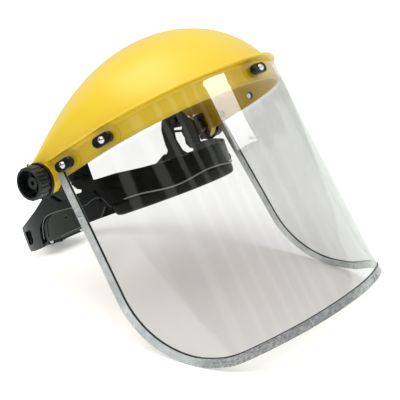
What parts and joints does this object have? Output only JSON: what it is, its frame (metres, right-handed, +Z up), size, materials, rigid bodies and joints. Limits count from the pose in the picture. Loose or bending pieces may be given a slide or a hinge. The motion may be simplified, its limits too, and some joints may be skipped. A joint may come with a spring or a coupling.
{
  "type": "face shield",
  "caption": "Tipped-back safety face shield: yellow crown guard, clear bound visor on studs, tilt knobs and an adjustable black head harness.",
  "frame": {"origin": "centre of the bounding box's base, on the floor the shield rests on", "axes": "+X towards the wearer's left, -Y the way the visor faces, +Z up as it lies tipped back on the visor's two lower corners and the ratchet knob"},
  "size_m": [0.26, 0.3496, 0.2267],
  "materials": {
    "yellow_plastic": "satin",
    "clear_sheet": "clear, polished",
    "aluminium": "satin, crimped",
    "steel": "bright plated",
    "black_plastic": "semi-gloss",
    "brass": "turned",
    "brown_fibre": "satin",
    "sweat_fabric": "soft, perforated",
    "nape_foam": "soft foam"
  },
  "bodies": {
    "harness": {"headband": "black_plastic", "sweatband": "sweat_fabric", "sweatband_pins": "black_plastic", "crown_strap_left": "black_plastic", "crown_strap_right": "black_plastic", "crown_rivets": "steel", "crown_pegs": "black_plastic", "ratchet_housing": "black_plastic", "ratchet_cover": "black_plastic", "housing_screws": "steel", "ratchet_pawl": "steel", "nape_pad": "nape_foam", "side_cover_left": "black_plastic", "side_cover_right": "black_plastic", "pivot_bolt_left": "steel", "pivot_bolt_right": "steel", "friction_washer_left": "steel", "friction_washer_right": "steel", "detent_plate_left": "brown_fibre", "detent_plate_right": "brown_fibre"},
    "shield": {"crown_guard": "yellow_plastic", "visor": "clear_sheet", "visor_binding": "aluminium", "stud_rivets": "steel", "stud_washers": "steel", "stud_collars": "steel"},
    "button_front": {"turn_button_front": "black_plastic"},
    "button_left_front": {"turn_button_left_front": "black_plastic"},
    "button_left_rear": {"turn_button_left_rear": "black_plastic"},
    "button_right_front": {"turn_button_right_front": "black_plastic"},
    "button_right_rear": {"turn_button_right_rear": "black_plastic"},
    "knob_left": {"tilt_knob_left": "black_plastic", "knob_nut_left": "brass"},
    "knob_right": {"tilt_knob_right": "black_plastic", "knob_nut_right": "brass"},
    "ratchet": {"ratchet_knob": "black_plastic", "ratchet_pinion": "black_plastic", "ratchet_spring": "steel"},
    "strap_left": {"back_strap_left": "black_plastic"},
    "strap_right": {"back_strap_right": "black_plastic"}
  },
  "joints": [
    {"name": "shield_flip", "type": "hinge", "parent": "harness", "child": "shield", "pos_m": [0, 0.05606, 0.11572], "axis": [-1, 0, 0], "range_deg": [-10, 75]},
    {"name": "tilt_knob_left_turn", "type": "hinge", "parent": "harness", "child": "knob_left", "pos_m": [0.1233, 0.05606, 0.11572], "axis": [1, 0, 0], "range_deg": [-180, 180]},
    {"name": "tilt_knob_right_turn", "type": "hinge", "parent": "harness", "child": "knob_right", "pos_m": [-0.1233, 0.05606, 0.11572], "axis": [-1, 0, 0], "range_deg": [-180, 180]},
    {"name": "button_front_turn", "type": "hinge", "parent": "shield", "child": "button_front", "pos_m": [0, -0.06623, 0.19998], "axis": [0, -0.8235, 0.5674], "range_deg": [0, 90]},
    {"name": "button_left_front_turn", "type": "hinge", "parent": "shield", "child": "button_left_front", "pos_m": [0.10799, -0.0033, 0.15662], "axis": [0.9706, -0.1982, 0.1366], "range_deg": [0, 90]},
    {"name": "button_left_rear_turn", "type": "hinge", "parent": "shield", "child": "button_left_rear", "pos_m": [0.11271, 0.03103, 0.13297], "axis": [0.9965, -0.0685, 0.0472], "range_deg": [0, 90]},
    {"name": "button_right_front_turn", "type": "hinge", "parent": "shield", "child": "button_right_front", "pos_m": [-0.10799, -0.0033, 0.15662], "axis": [-0.9706, -0.1982, 0.1366], "range_deg": [0, 90]},
    {"name": "button_right_rear_turn", "type": "hinge", "parent": "shield", "child": "button_right_rear", "pos_m": [-0.11271, 0.03103, 0.13297], "axis": [-0.9965, -0.0685, 0.0472], "range_deg": [0, 90]},
    {"name": "ratchet_turn", "type": "hinge", "parent": "harness", "child": "ratchet", "pos_m": [0, 0.15081, 0.02293], "axis": [0, -0.9095, 0.4157], "range_deg": [0, 62]},
    {"name": "strap_left_slide", "type": "slide", "parent": "harness", "child": "strap_left", "axis": [-1, 0, 0], "range_m": [0, 0.0065]},
    {"name": "strap_right_slide", "type": "slide", "parent": "harness", "child": "strap_right", "axis": [1, 0, 0], "range_m": [0, 0.0065]}
  ],
  "couplings": [
    {"joint": "strap_left_slide", "follows": "ratchet_turn", "m_per_rad": 0.006},
    {"joint": "strap_right_slide", "follows": "ratchet_turn", "m_per_rad": 0.006}
  ]
}
